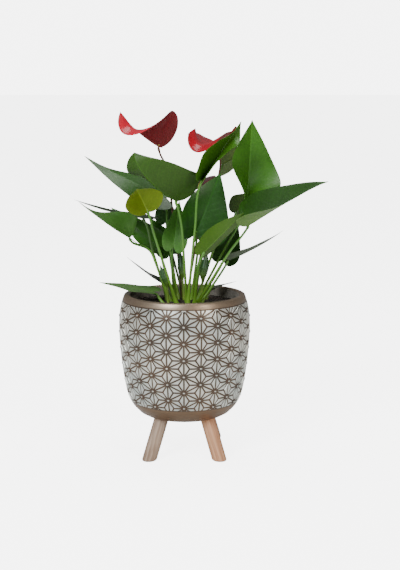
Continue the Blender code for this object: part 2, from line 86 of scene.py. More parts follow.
# The round-ended outline of the leaves named in BLUNT_LEAVES.
BLUNT_OUTLINE = (
    (-0.030, 0.00), (-0.110, 0.12), (-0.170, 0.34), (-0.165, 0.62), (-0.080, 0.87), (0.060, 1.00),
    (0.220, 0.98), (0.420, 0.87), (0.600, 0.71), (0.760, 0.52), (0.880, 0.33), (0.960, 0.14),
    (1.000, 0.00),
)
SPATHE_OUTLINE = (
    (-0.040, 0.00), (-0.160, 0.14), (-0.230, 0.40), (-0.200, 0.72), (-0.060, 0.96), (0.140, 1.00),
    (0.340, 0.90), (0.540, 0.73), (0.720, 0.51), (0.860, 0.29), (0.940, 0.13), (0.975, 0.04),
    (1.000, 0.00),
)

# Every leaf: the joint where blade and stem meet, the tip, the side its upper face looks to, and
# its width, all in millimetres from the pot's axis and the floor. Left and right are the angles
# that each half rises by at the stem, halfway and at the tip; bend is how far the midrib turns
# down over its length, and tip_bend how much more it turns in the last third. Lobe, where given,
# is how far the lobes behind the stem reach, as a share of the outline's. The stem stands at its
# root on the soil and passes through its via point.
LEAVES = {
    "leaf_01": dict(
        joint=(-10, -34, 309), tip=(-56, -60, 366), face=(0.20, 0.80, 0.60), width=84,
        left=(28, 30, 33), right=(52, 48, -10), bend=-50, tip_bend=-50,
        root=(3, -7), via=(0, -22, 235)),
    "leaf_02": dict(
        joint=(-27, 22, 309), tip=(-123, 52, 355), face=(0.25, -0.50, 0.85), width=56,
        left=(-6, -6, 0), right=(-4, -12, -50), bend=-8, tip_bend=0,
        root=(-8, 16), via=(-20, 18, 262)),
    "leaf_03": dict(
        joint=(-42, -54, 299), tip=(-55, -30, 322), face=(-0.20, -0.70, 0.70), width=56,
        left=(40, 35, 15), right=(35, 30, 15), bend=24, tip_bend=0,
        root=(-9, -16), via=(-34, -40, 268)),
    "leaf_04": dict(
        joint=(-63, -38, 266), tip=(-117, -84, 312), face=(0.70, -0.25, 0.65), width=54,
        left=(25, 25, 25), right=(45, -5, -25), bend=-8, tip_bend=0,
        root=(-17, 0), via=(-37, -8, 240), lobe=0.2),
    "leaf_05": dict(
        joint=(-50, 8, 284), tip=(-135, 40, 303), face=(0.35, -0.05, 0.95), width=40,
        left=(8, 6, 4), right=(8, 6, 4), bend=-12, tip_bend=0,
        root=(-20, 6), via=(-38, 6, 244)),
    "leaf_06": dict(
        joint=(-35, 28, 250), tip=(-92, 56, 292), face=(0.25, -0.70, 0.65), width=36,
        left=(10, 8, 6), right=(10, 8, 6), bend=8, tip_bend=0,
        root=(-14, 35), via=(-23, 33, 212)),
    "leaf_07": dict(
        joint=(-20, 42, 240), tip=(-43, 60, 279), face=(0.20, -0.90, 0.40), width=34,
        left=(10, 8, 6), right=(10, 8, 6), bend=10, tip_bend=0,
        root=(-7, 38), via=(-15, 40, 214)),
    "leaf_08": dict(
        joint=(-13, -2, 253), tip=(-6, 14, 304), face=(0.15, -0.95, 0.25), width=32,
        left=(20, 20, 10), right=(10, 10, 10), bend=4, tip_bend=0,
        root=(-12, 4), via=(-15, -1, 226)),
    "leaf_09": dict(
        joint=(-23, 58, 276), tip=(-28, 76, 308), face=(0.05, -0.85, 0.50), width=28,
        left=(8, 8, 6), right=(8, 8, 6), bend=6, tip_bend=0,
        root=(-2, 44), via=(-17, 53, 239)),
    "leaf_10": dict(
        joint=(15, -4, 270), tip=(43, 2, 338), face=(0.00, -1.00, 0.10), width=72,
        left=(58, 25, 5), right=(6, 5, 4), bend=10, tip_bend=0,
        root=(8, 12), via=(15, 8, 236)),
    "leaf_11": dict(
        joint=(23, -38, 335), tip=(67, -6, 399), face=(0.15, -0.95, 0.35), width=60,
        left=(68, 58, 66, 86, 90), right=(86, 82, 62, 10, -30), bend=14, tip_bend=10,
        root=(4, -16), via=(13, -33, 278), lobe=0.6),
    "leaf_12": dict(
        joint=(75, 8, 301), tip=(82, 50, 399), face=(0.00, -0.90, 0.40), width=84,
        left=(84, 44, 45), right=(50, 15, 0, 0, 0), bend=10, tip_bend=0,
        root=(15, 10), via=(52, 10, 253)),
    "leaf_13": dict(
        joint=(75, -44, 281), tip=(164, -70, 334), face=(-0.55, -0.60, 0.60), width=62,
        left=(20, 40, 45), right=(72, 46, 45), bend=8, tip_bend=16,
        root=(15, -8), via=(49, -26, 241), lobe=0.3),
    "leaf_14": dict(
        joint=(62, 34, 288), tip=(89, 62, 309), face=(-0.70, 0.70, 0.00), width=38,
        left=(6, 6, 4), right=(6, 6, 4), bend=8, tip_bend=0,
        root=(15, 22), via=(33, 20, 238)),
    "leaf_15": dict(
        joint=(24, -43, 250), tip=(69, -63, 298), face=(0.15, 0.90, 0.40), width=44,
        left=(60, 51, 19), right=(63, 47, 17), bend=8, tip_bend=0,
        root=(12, -14), via=(15, -32, 218)),
    "leaf_16": dict(
        joint=(48, 32, 232), tip=(66, 50, 271), face=(-0.10, -0.90, 0.45), width=36,
        left=(6, 6, 4), right=(6, 6, 4), bend=8, tip_bend=0,
        root=(19, 17), via=(36, 20, 210)),
    "leaf_17": dict(
        joint=(52, 0, 234), tip=(120, 32, 266), face=(-0.50, 0.25, 0.80), width=34,
        left=(10, 8, 4), right=(10, 8, 4), bend=-14, tip_bend=0,
        root=(20, -3), via=(38, -2, 210), lobe=0.6),
    "leaf_18": dict(
        joint=(-24, 19, 201), tip=(-72, 51, 231), face=(0.65, 0.25, 0.75), width=26,
        left=(8, 6, 4), right=(8, 6, 4), bend=-10, tip_bend=0,
        root=(-16, 15), via=(-20, 17, 193)),
    "leaf_19": dict(
        joint=(-42, -8, 198), tip=(-104, 14, 205), face=(0.10, -0.10, 1.00), width=36,
        left=(4, 4, 4), right=(4, 4, 4), bend=0, tip_bend=0,
        root=(-24, -16), via=(-32, -12, 193)),
    "leaf_20": dict(
        joint=(36, 28, 196), tip=(64, 58, 199), face=(-0.20, 0.05, 1.00), width=16,
        left=(6, 4, 4), right=(6, 4, 4), bend=4, tip_bend=0,
        root=(26, 20), via=(30, 23, 192)),
    "leaf_21": dict(
        joint=(46, 56, 344), tip=(94, 96, 366), face=(-0.70, 0.65, 0.30), width=36,
        left=(6, 6, 4), right=(6, 6, 4), bend=10, tip_bend=0,
        root=(12, 38), via=(28, 55, 272), lobe=0.4),
}

BLUNT_LEAVES = ("leaf_01",)

# Leaves that have not opened: they stand on the soil on a short stalk of their own.
YOUNG_LEAVES = {
    "young_leaf_1": dict(
        joint=(22, 2, 214), tip=(27, 3, 245), face=(-0.1, -1.0, 0.1), width=16,
        root=(20, 2)),
    "young_leaf_2": dict(
        joint=(-21, -11, 208), tip=(-29, -13, 230), face=(0.3, -0.9, 0.2), width=14,
        root=(-19, -10)),
    "young_leaf_3": dict(
        joint=(-2, 14, 202), tip=(-6, 20, 244), face=(0.1, -1.0, 0.1), width=15,
        root=(-1, 13)),
}

# Every flower: the spathe is described as a leaf is, the spadix by its direction and its length.
FLOWERS = {
    "flower_left": dict(
        joint=(-31, 14, 369), tip=(-75, -8, 411), face=(0.64, 0.14, 0.75), width=90,
        left=(92, 77, 25, -50, -80), right=(10, 5, 5, 10, 15), bend=-20, tip_bend=-10,
        root=(-2, 26), via=(-20, 52, 330), spadix=(-0.10, 0.70, 0.70), length=22,
        lobe=0.75),
    "flower_right": dict(
        joint=(42, 30, 359), tip=(4, 4, 384), face=(0.70, 0.00, 0.70), width=84,
        left=(85, 65, 48, -30, -70), right=(5, 5, 8, 30, 30), bend=-20, tip_bend=0,
        root=(8, 30), via=(33, 32, 300), spadix=(0.10, 0.75, 0.70), length=18),
    "flower_low": dict(
        joint=(17, 20, 319), tip=(26, 52, 329), face=(-0.40, -0.30, 0.85), width=48,
        left=(10, 10, 10), right=(10, 10, 10), bend=10, tip_bend=0,
        root=(2, 20), via=(15, 30, 256), spadix=(-0.1, -0.3, 1.0), length=15),
}

# ---------------------------------------------------------------- colours and materials

def srgb(red, green, blue):
    """A linear colour from the everyday 0 to 255 values."""
    linear = []
    for value in (red, green, blue):
        share = value / 255
        linear.append(share / 12.92 if share <= 0.04045 else ((share + 0.055) / 1.055) ** 2.4)
    return (*linear, 1.0)


class Nodes:
    """A short way to write one material's nodes."""

    def __init__(self, name):
        self.material = bpy.data.materials.new(name)
        self.material.use_nodes = True
        self.tree = self.material.node_tree
        self.shader = self.tree.nodes["Principled BSDF"]

    def add(self, kind, inputs=None, **settings):
        node = self.tree.nodes.new("ShaderNode" + kind)
        for key, value in settings.items():
            setattr(node, key, value)
        for key, value in (inputs or {}).items():
            self.put(node.inputs[key], value)
        return node

    def put(self, socket, value):
        if isinstance(value, bpy.types.NodeSocket):
            self.tree.links.new(value, socket)
        elif isinstance(value, bpy.types.Node):
            self.tree.links.new(value.outputs[0], socket)
        else:
            socket.default_value = value

    def set(self, **inputs):
        for key, value in inputs.items():
            self.put(self.shader.inputs[key.replace("_", " ")], value)

    def math(self, operation, a, b=0.0, c=0.0, clamp=False):
        node = self.add("Math", operation=operation, use_clamp=clamp)
        for socket, value in zip(node.inputs, (a, b, c)):
            self.put(socket, value)
        return node.outputs[0]

    def mix(self, share, a, b):
        node = self.add("MixRGB")
        for socket, value in zip(node.inputs, (share, a, b)):
            self.put(socket, value)
        return node.outputs[0]

    def ramp(self, value, *stops):
        """Stops are (place, shade), with the shade a number or a colour."""
        node = self.add("ValToRGB")
        elements = node.color_ramp.elements
        while len(elements) < len(stops):
            elements.new(0.5)
        for element, (place, shade) in zip(elements, stops):
            element.position = place
            element.color = shade if isinstance(shade, tuple) else (shade, shade, shade, 1.0)
        self.put(node.inputs[0], value)
        return node.outputs[0]

    def blend(self, value, low, high, a, b, most=1.0):
        """Goes from a, where the value is low, to b (or most of the way to it) where it is high."""
        return self.mix(self.ramp(value, (low, 0.0), (high, most)), a, b)

    def noise(self, place, scale, detail=3.0, roughness=0.5, distortion=0.0):
        node = self.add("TexNoise", inputs={"Vector": place, "Scale": scale, "Detail": detail,
                                            "Roughness": roughness, "Distortion": distortion})
        return node.outputs[0]

    def scaled(self, place, x, y, z):
        node = self.add("Mapping", inputs={"Vector": place})
        node.inputs["Scale"].default_value = (x, y, z)
        return node.outputs[0]

    def attribute(self, name):
        return self.add("Attribute", attribute_name=name).outputs["Vector"]

    def parts(self, vector):
        return self.add("SeparateXYZ", inputs={0: vector}).outputs

    def bump(self, height, strength, distance):
        node = self.add("Bump", inputs={"Height": height, "Strength": strength, "Distance": distance})
        return node.outputs[0]


def blade_material(name, upper, under, vein, rough, under_rough, vein_show, net):
    """A leaf or a spathe. The attribute "blade" holds millimetres along and across, and the side."""
    n = Nodes(name)
    along, across, side = n.parts(n.attribute("blade"))
    place = n.add("TexCoord").outputs["Object"]
    off = n.math("ABSOLUTE", across)
    near = n.math("DIVIDE", off, 1.5)
    rib = n.math("SUBTRACT", 1.0, near, clamp=True)
    bent = n.math("MULTIPLY", off, 0.75)
    run = n.math("SUBTRACT", along, bent)
    wander = n.noise(place, 60.0, 1.0)
    run = n.math("MULTIPLY_ADD", wander, 3.0, run)
    cycle = n.math("PINGPONG", run, 4.2)
    lateral = n.math("SUBTRACT", 1.0, n.math("MULTIPLY", cycle, 1.6), clamp=True)
    netting = n.add("TexVoronoi", inputs={"Vector": place, "Scale": net}, feature="DISTANCE_TO_EDGE")
    lace = n.ramp(netting.outputs["Distance"], (0.0, 1.0), (0.12, 0.0))
    veins = n.math("MAXIMUM", rib, n.math("MULTIPLY", lateral, 0.45))
    veins = n.math("MAXIMUM", veins, n.math("MULTIPLY", lace, 0.25))
    broad = n.noise(place, 35.0, 2.0)
    fine = n.noise(place, 420.0, 4.0, 0.6)
    dapple = n.math("MULTIPLY_ADD", fine, 0.35, n.math("MULTIPLY", broad, 0.65))
    top = n.blend(dapple, 0.35, 0.65, darker(upper, 0.78), lighter(upper, 1.22))
    top = n.mix(n.math("MULTIPLY", veins, vein_show), top, vein)
    low = n.blend(dapple, 0.35, 0.65, darker(under, 0.85), lighter(under, 1.15))
    low = n.mix(n.math("MULTIPLY", veins, vein_show * 1.2), low, vein)
    n.set(Base_Color=n.mix(side, low, top))
    shine = n.math("MULTIPLY_ADD", fine, 0.16, rough - 0.08)
    dull = n.math("MULTIPLY_ADD", fine, 0.16, under_rough - 0.08)
    n.set(Roughness=n.mix(side, dull, shine))
    relief = n.math("MULTIPLY_ADD", veins, 0.8, n.math("MULTIPLY", fine, 0.35))
    n.set(Normal=n.bump(relief, 0.35, 0.0004))
    n.set(Specular_IOR_Level=0.28, Subsurface_Weight=0.12)
    n.set(Subsurface_Radius=(0.4, 1.0, 0.2), Subsurface_Scale=0.0006)
    return n.material


def darker(colour, factor):
    return tuple(value * factor for value in colour[:3]) + (1.0,)


def lighter(colour, factor):
    return tuple(min(value * factor, 1.0) for value in colour[:3]) + (1.0,)


def leaf_material(name, upper, under):
    vein = lighter(upper, 2.1)
    return blade_material(name, upper, under, vein, 0.34, 0.5, 0.32, 520.0)


def spathe_material(name, upper, under):
    vein = lighter(upper, 1.35)
    return blade_material(name, upper, under, vein, 0.22, 0.38, 0.3, 300.0)


def stem_material(name, low, high, streak):
    """A petiole: one colour at its foot and one at its top, with fine streaks along it."""
    n = Nodes(name)
    place = n.attribute("tube")
    _, share, _ = n.parts(place)
    strands = n.noise(n.scaled(place, 5.0, 0.6, 0.0), 5.0, 3.0)
    spots = n.noise(n.add("TexCoord").outputs["Object"], 900.0, 2.0)
    base = n.blend(share, 0.02, 0.7, low, high)
    base = n.blend(strands, 0.35, 0.7, base, streak, 0.6)
    base = n.blend(spots, 0.55, 0.8, base, lighter(high, 1.5), 0.25)
    n.set(Base_Color=base)
    n.set(Roughness=n.math("MULTIPLY_ADD", strands, 0.2, 0.3))
    n.set(Normal=n.bump(strands, 0.25, 0.0003))
    n.set(Subsurface_Weight=0.15, Subsurface_Radius=(0.5, 1.0, 0.2), Subsurface_Scale=0.001)
    return n.material


def pot_metal_material():
    """The bronze ground: lip, base band and the lines between the raised panels."""
    n = Nodes("pot_bronze")
    place = n.add("TexCoord").outputs["Object"]
    cloud = n.noise(place, 22.0, 3.0)
    grain = n.noise(place, 700.0, 3.0, 0.6)
    brushed = n.noise(n.scaled(place, 30.0, 30.0, 400.0), 1.0, 4.0)
    _, _, height = n.parts(place)
    on_lip = n.math("GREATER_THAN", height, POT_BASE + LIP_FROM)
    on_foot = n.math("LESS_THAN", height, POT_BASE + FOOT_TO)
    tone = n.mix(on_foot, srgb(84, 76, 68), srgb(122, 102, 82))
    tone = n.mix(on_lip, tone, srgb(150, 134, 116))
    tone = n.blend(cloud, 0.35, 0.65, tone, srgb(126, 98, 74), 0.4)
    tone = n.blend(grain, 0.4, 0.8, tone, srgb(84, 72, 64), 0.35)
    n.set(Base_Color=tone)
    n.set(Roughness=n.math("MULTIPLY_ADD", brushed, 0.25, 0.28))
    n.set(Normal=n.bump(grain, 0.12, 0.0003))
    n.set(Metallic=0.75)
    return n.material


def pot_panel_material():
    """The raised panels: a worn silver-white glaze with a little bronze rubbing through."""
    n = Nodes("pot_silver")
    place = n.add("TexCoord").outputs["Object"]
    cloud = n.noise(place, 16.0, 2.0)
    grain = n.noise(place, 900.0, 3.0, 0.6)
    worn = n.noise(place, 160.0, 4.0, 0.65)
    tone = n.blend(cloud, 0.35, 0.65, srgb(196, 202, 198), srgb(218, 216, 206))
    tone = n.blend(worn, 0.56, 0.78, tone, srgb(168, 152, 136), 0.4)
    tone = n.blend(grain, 0.45, 0.8, tone, srgb(236, 234, 230), 0.18)
    n.set(Base_Color=tone)
    n.set(Roughness=n.math("MULTIPLY_ADD", worn, 0.25, 0.30))
    n.set(Normal=n.bump(grain, 0.1, 0.0002))
    n.set(Metallic=0.82)
    return n.material


def pot_inside_material():
    n = Nodes("pot_inside")
    place = n.add("TexCoord").outputs["Object"]
    grain = n.noise(place, 300.0, 4.0, 0.6)
    tone = n.blend(grain, 0.3, 0.7, srgb(128, 124, 116), srgb(168, 162, 152))
    n.set(Base_Color=tone, Roughness=n.math("MULTIPLY_ADD", grain, 0.3, 0.5))
    n.set(Normal=n.bump(grain, 0.3, 0.0004))
    return n.material


def wood_material(name, pale, deep, grey):
    """Sanded dowel: grain runs along the attribute "wood", the dowel's own coordinates in metres."""
    n = Nodes(name)
    place = n.attribute("wood")
    rings = n.noise(n.scaled(place, 260.0, 260.0, 22.0), 1.0, 3.0, 0.55, 0.6)
    fibre = n.noise(n.scaled(place, 1500.0, 1500.0, 60.0), 1.0, 3.0)
    blotch = n.noise(n.scaled(place, 60.0, 60.0, 30.0), 1.0, 2.0)
    tone = n.blend(rings, 0.36, 0.62, deep, pale)
    tone = n.blend(fibre, 0.45, 0.75, tone, darker(deep, 0.75), 0.4)
    tone = n.blend(blotch, 0.4, 0.7, tone, grey, 0.6)
    n.set(Base_Color=tone, Roughness=n.math("MULTIPLY_ADD", fibre, 0.25, 0.5))
    n.set(Normal=n.bump(n.math("ADD", fibre, rings), 0.35, 0.0004))
    return n.material


def soil_material():
    n = Nodes("potting_mix")
    place = n.add("TexCoord").outputs["Object"]
    clump = n.noise(place, 130.0, 3.0)
    crumb = n.noise(place, 900.0, 4.0, 0.7)
    tone = n.blend(clump, 0.35, 0.65, srgb(24, 20, 17), srgb(54, 43, 33))
    tone = n.blend(crumb, 0.55, 0.8, tone, srgb(86, 68, 50), 0.5)
    n.set(Base_Color=tone, Roughness=n.math("MULTIPLY_ADD", crumb, 0.2, 0.78))
    n.set(Normal=n.bump(crumb, 0.7, 0.001))
    return n.material


def spadix_material():
    n = Nodes("spadix")
    _, share, _ = n.parts(n.attribute("tube"))
    place = n.add("TexCoord").outputs["Object"]
    dots = n.noise(place, 1200.0, 2.0)
    tone = n.blend(share, 0.1, 0.9, srgb(206, 196, 120), srgb(150, 158, 84))
    tone = n.blend(dots, 0.5, 0.75, tone, srgb(226, 214, 150), 0.5)
    n.set(Base_Color=tone, Roughness=n.math("MULTIPLY_ADD", dots, 0.2, 0.4))
    n.set(Normal=n.bump(dots, 0.4, 0.0004))
    n.set(Subsurface_Weight=0.15, Subsurface_Scale=0.001)
    return n.material


# ---------------------------------------------------------------- making pieces

def make_piece(name, points, faces, slot, node, material, smooth=45, fields=None):
    """An object from plain lists, riding on the root and standing for a CAD node."""
    mesh = bpy.data.meshes.new(name)
    mesh.from_pydata([tuple(p) for p in points], [], faces)
    for field, values in (fields or {}).items():
        made = mesh.attributes.new(field, "FLOAT_VECTOR", "POINT")
        made.data.foreach_set("vector", np.asarray(values, np.float32).ravel())
    bm = bmesh.new()
    bm.from_mesh(mesh)
    bmesh.ops.recalc_face_normals(bm, faces=bm.faces)
    if bm.calc_volume(signed=True) < 0:
        bmesh.ops.reverse_faces(bm, faces=bm.faces)
    bm.to_mesh(mesh)
    bm.free()
    mesh.shade_smooth()
    mesh.set_sharp_from_angle(angle=math.radians(smooth))
    return place_piece(name, mesh, node, material)


def place_piece(name, mesh, node, material):
    piece = bpy.data.objects.new(name, mesh)
    bpy.context.scene.collection.objects.link(piece)
    mesh.materials.clear()
    mesh.materials.append(material)
    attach(piece, "root")
    if node:
        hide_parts(node)
    return piece


def quad_rings(start, count, sides):
    """The faces between each ring of points and the next, for rings stored one after another."""
    faces = []
    for ring in range(count - 1):
        low = start + ring * sides
        high = low + sides
        for step in range(sides):
            after = (step + 1) % sides
            faces.append((low + step, low + after, high + after, high + step))
    return faces


def smooth_through(points, shares):
    """Places at shares, 0 to 1, of the way along a smooth curve through the points."""
    points = np.asarray(points, float)
    points = points.reshape(len(points), -1)
    last = len(points) - 1
    place = np.clip(np.atleast_1d(np.asarray(shares, float)), 0, 1) * last
    index = np.minimum(place.astype(int), last - 1)
    t = (place - index)[:, None]
    a = points[np.maximum(index - 1, 0)]
    b = points[index]
    c = points[index + 1]
    d = points[np.minimum(index + 2, last)]
    cubic = (3 * b - a - 3 * c + d) * t ** 3
    return 0.5 * (2 * b + (c - a) * t + (2 * a - 5 * b + 4 * c - d) * t ** 2 + cubic)


# ---------------------------------------------------------------- leaves and spathes

def axes_of(leaf):
    """The joint, the length and the blade's own axes: along, to the right, and out of its face."""
    joint = AXIS + Vector(leaf["joint"]) * MM
    tip = AXIS + Vector(leaf["tip"]) * MM
    along = (tip - joint).normalized()
    up = Vector(leaf["face"])
    up = (up - along * up.dot(along)).normalized()
    return joint, (tip - joint).length, along, along.cross(up), up


def midrib(leaf, steps=40):
    """The midrib's points and headings in its own plane, from the joint to the tip, a unit apart."""
    shares = (np.arange(steps) + 0.5) / steps
    late = np.maximum(shares - 0.65, 0) / 0.35
    headings = math.radians(leaf["bend"]) * (0.5 - shares)
    headings = headings - math.radians(leaf["tip_bend"]) * late * late
    run = np.stack([np.cos(headings), np.sin(headings)], 1) / steps
    points = np.concatenate([np.zeros((1, 2)), np.cumsum(run, 0)])
    chord = points[-1]
    turn = -math.atan2(chord[1], chord[0])
    spin = np.array([[math.cos(turn), -math.sin(turn)], [math.sin(turn), math.cos(turn)]])
    return points @ spin.T / np.hypot(*chord), headings + turn


def blade_places(leaf, u, v, lift):
    """Where the blade's points are, for arrays of lengthwise and crosswise shares and lifts."""
    joint, length, along, right, up = leaf["axes"]
    along, right, up = (np.array(axis) for axis in (along, right, up))
    points, headings = leaf["midrib"]
    steps = len(headings)
    u = np.where(u < 0, u * leaf.get("lobe", 1.0), u)
    place = u * steps
    index = np.clip(np.floor(place).astype(int), 0, steps - 1)
    base = points[index] + (points[index + 1] - points[index]) * (place - index)[:, None]
    heading = np.interp(place - 0.5, np.arange(steps), headings)[:, None]
    normal = up * np.cos(heading) - along * np.sin(heading)
    left = smooth_through(leaf["left"], u)[:, 0]
    folds = np.where(v > 0, smooth_through(leaf["right"], u)[:, 0], left)
    fold = np.radians(folds) * np.minimum(np.abs(v) / 0.04, 1.0)
    half = v * leaf["width"] * MM / 2
    rise = np.sqrt(half ** 2 + CREASE ** 2) - CREASE
    wave = EDGE_WAVE * MM * np.sin(u * 9 + leaf["joint"][0]) * v ** 2
    spot = np.array(joint) + (along * base[:, :1] + up * base[:, 1:]) * length
    spot = spot + right * (half * np.cos(fold))[:, None]
    spot = spot + normal * (rise * np.sin(fold) + wave)[:, None]
    tilt = np.where(v > 0, fold, -fold)[:, None]
    out = normal * np.cos(tilt) - right * np.sin(tilt)
    return spot + out * lift[:, None]


def blade_relief(leaf, u, v, side):
    """How far the veins lift the surface, in metres: a groove above and a ridge below."""
    across = np.abs(v) * leaf["width"] / 2
    along = u * leaf["axes"][1] / MM
    fade = np.clip(1.15 - u, 0, 1)
    rib = np.exp(-(across / 0.9) ** 2) * fade
    spacing = leaf.get("vein_spacing", 8.4)
    phase = (along - 0.75 * across) / spacing
    near = np.abs(phase - np.round(phase)) * spacing
    lateral = np.exp(-(near / 0.7) ** 2) * np.clip(across / 3, 0, 1) * np.clip(1.1 - np.abs(v), 0, 1)
    strength = leaf.get("relief", 1.0)
    above = -0.30 * rib - 0.10 * strength * lateral
    below = 0.55 * rib + 0.12 * strength * lateral
    return np.where(side > 0, above, below) * MM


def blade_piece(name, leaf, outline, material, slot, around=60, rings=22):
    """A closed thin blade, meshed in rings about its joint, with its veins pressed in."""
    leaf["axes"] = axes_of(leaf)
    leaf["midrib"] = midrib(leaf)
    half = smooth_through(outline, np.linspace(0, 1, around + 1))
    edge = np.concatenate([half, half[-2:0:-1] * (1, -1)])
    count = len(edge)
    shares = (np.arange(1, rings + 1) / rings) ** 0.85
    u = np.concatenate([[0.0], (shares[:, None] * edge[:, 0]).ravel()])
    v = np.concatenate([[0.0], (shares[:, None] * edge[:, 1]).ravel()])
    reach = np.concatenate([[0.0], np.repeat(shares, count)])
    body = np.sqrt(np.clip(1 - reach ** 12, 0.08, 1))
    points = []
    fields = []
    for side in (1, -1):
        relief = blade_relief(leaf, u, v, np.full_like(u, side)) * (1 - reach ** 8)
        lift = side * body * BLADE_THICKNESS / 2 + side * relief
        points.append(blade_places(leaf, u, v, lift))
        along = u * leaf["axes"][1] / MM
        across = v * leaf["width"] / 2
        fields.append(np.stack([along, across, np.full_like(u, max(side, 0))], 1))
    total = len(u)
    faces = []
    for start in (0, total):
        for step in range(count):
            after = (step + 1) % count
            faces.append((start, start + 1 + step, start + 1 + after))
            for ring in range(rings - 1):
                low = start + 1 + ring * count
                high = low + count
                faces.append((low + step, high + step, high + after, low + after))
    rim = 1 + (rings - 1) * count
    for step in range(count):
        after = (step + 1) % count
        faces.append((rim + step, rim + after, total + rim + after, total + rim + step))
    return make_piece(name + "_blade", np.concatenate(points), faces, slot, name, material, 70,
                      {"blade": np.concatenate(fields)})


# ---------------------------------------------------------------- stems and spadices

def soil_top(x, y):
    """The height above the floor of the soil's surface at a place from the pot's axis."""
    share = math.hypot(x, y) / soil_radius()
    stations = ((0.0, 0.0), (0.25, 0.0), (0.6, 0.35), (1.0, 1.0))
    drop = float(np.interp(share, [r for r, _ in stations], [d for _, d in stations]))
    return POT_BASE + POT_HEIGHT - SOIL_DEPTH_BELOW_LIP - SOIL_DOME * drop


def stem_route(leaf, samples=30):
    """Points from just under the soil to the blade's joint, on a smooth bent line."""
    joint, _, along, _, up = leaf["axes"]
    x, y = leaf["root"]
    root = AXIS + Vector((x * MM, y * MM, soil_top(x * MM, y * MM) - ROOT_SINK))
    via = AXIS + Vector(leaf["via"]) * MM
    end = joint - up * (BLADE_THICKNESS * 0.4)
    run = (end - via).length
    arrive = (along * 0.8 + up * 0.6).normalized() * run * 0.35
    leave = (via - root).normalized() * run * 0.4
    route = [root + (via - root) * step / 10 for step in range(10)]
    for step in range(samples + 1):
        t = step / samples
        a, b, c, d = via, via + leave, end - arrive, end
        route.append(a * (1 - t) ** 3 + b * 3 * t * (1 - t) ** 2 + c * 3 * t * t * (1 - t) + d * t ** 3)
    return route


def tube(route, radius_at, sides):
    """Points, faces and the field "tube" (turn, share, height) of a round tube along a route.

    radius_at gives the radius for a share of the length and a turn, 0 to 1.
    """
    lengths = [0.0]
    for a, b in zip(route, route[1:]):
        lengths.append(lengths[-1] + (b - a).length)
    points = []
    field = []
    side = Vector((1, 0, 0))
    for index, spot in enumerate(route):
        ahead = (route[min(index + 1, len(route) - 1)] - route[max(index - 1, 0)]).normalized()
        side = (side - ahead * side.dot(ahead)).normalized()
        other = ahead.cross(side)
        share = lengths[index] / lengths[-1]
        for step in range(sides):
            angle = 2 * math.pi * step / sides
            radius = radius_at(share, step / sides)
            points.append(spot + (side * math.cos(angle) + other * math.sin(angle)) * radius)
            field.append((math.sin(angle), share, spot.z))
    faces = quad_rings(0, len(route), sides)
    faces.append(tuple(reversed(range(sides))))
    faces.append(tuple(range((len(route) - 1) * sides, len(route) * sides)))
    return points, faces, field


def stem_piece(name, leaf, radius, material, slot):
    """A petiole: flared into a sheath at its foot, with a thicker knee under the blade."""
    length = (leaf["axes"][0] - AXIS - Vector((0, 0, POT_BASE))).length

    def radius_at(share, turn):
        foot = 1.05 * math.exp(-share * length / 0.014)
        knee = 0.30 * math.exp(-(((1 - share) * length - 0.006) / 0.0045) ** 2)
        end = 1.0 - 0.45 * math.exp(-(1 - share) * length / 0.0012)
        groove = 0.10 * max(math.cos(2 * math.pi * turn), 0) ** 6
        return radius * (1.02 - 0.2 * share + foot + knee - groove) * end

    points, faces, field = tube(stem_route(leaf), radius_at, 14)
    return make_piece(name + "_petiole", points, faces, slot, name, material, 60, {"tube": field})


def spadix_piece(name, flower, material):
    """The spike: a blunt taper set all over with tiny flowers on two crossing spirals."""
    joint, _, _, _, up = flower["axes"]
    lean = Vector(flower["spadix"]).normalized()
    foot = joint + up * (BLADE_THICKNESS * 0.5)
    top = joint + up * SPADIX_SEAT + lean * (2.0 + flower["length"]) * MM
    rings = 90
    route = [foot.lerp(top, step / rings) for step in range(rings + 1)]

    def radius_at(share, turn):
        body = 1.95 * (1 - 0.35 * share) * min(1.0, 0.55 + share * 6)
        close = math.sqrt(max(1 - max((share - 0.9) / 0.1, 0) ** 2, 0.02))
        a = math.sin(2 * math.pi * (8 * turn + 15 * share))
        b = math.sin(2 * math.pi * (8 * turn - 15 * share))
        return (body + 0.16 * a * b) * close * MM

    points, faces, field = tube(route, radius_at, 48)
    return make_piece(name + "_spike", points, faces, "spadix", name, material, 60, {"tube": field})


def young_leaf_piece(name, leaf, material):
    """An unopened leaf: the blade rolled round itself, so that one edge lies over the other."""
    leaf["axes"] = axes_of(leaf)
    joint, length, along, _, _ = leaf["axes"]
    x, y = leaf["root"]
    foot = AXIS + Vector((x * MM, y * MM, soil_top(x * MM, y * MM) - ROOT_SINK))
    tip = joint + along * length
    shape = smooth_through([foot, foot.lerp(joint, 0.5), joint, joint.lerp(tip, 0.33),
                            joint.lerp(tip, 0.66), tip], np.linspace(0, 1, 61))
    route = [Vector(spot) for spot in shape]
    broad = leaf["width"] / 2
    stations = ((0.0, 1.9), (0.3, 1.4), (0.42, 1.6), (0.52, broad * 0.5), (0.66, broad * 0.62),
                (0.82, broad * 0.42), (0.94, broad * 0.16), (1.0, 0.25))

    def radius_at(share, turn):
        radius = float(np.interp(share, [s for s, _ in stations], [r for _, r in stations]))
        rolled = 0.22 * min(max((share - 0.42) / 0.1, 0), 1) * turn
        return radius * (1 + rolled - 0.08) * MM

    points, faces, field = tube(route, radius_at, 32)
    return make_piece(name + "_roll", points, faces, "young_leaf", name, material, 50, {"tube": field})


# ---------------------------------------------------------------- the planter

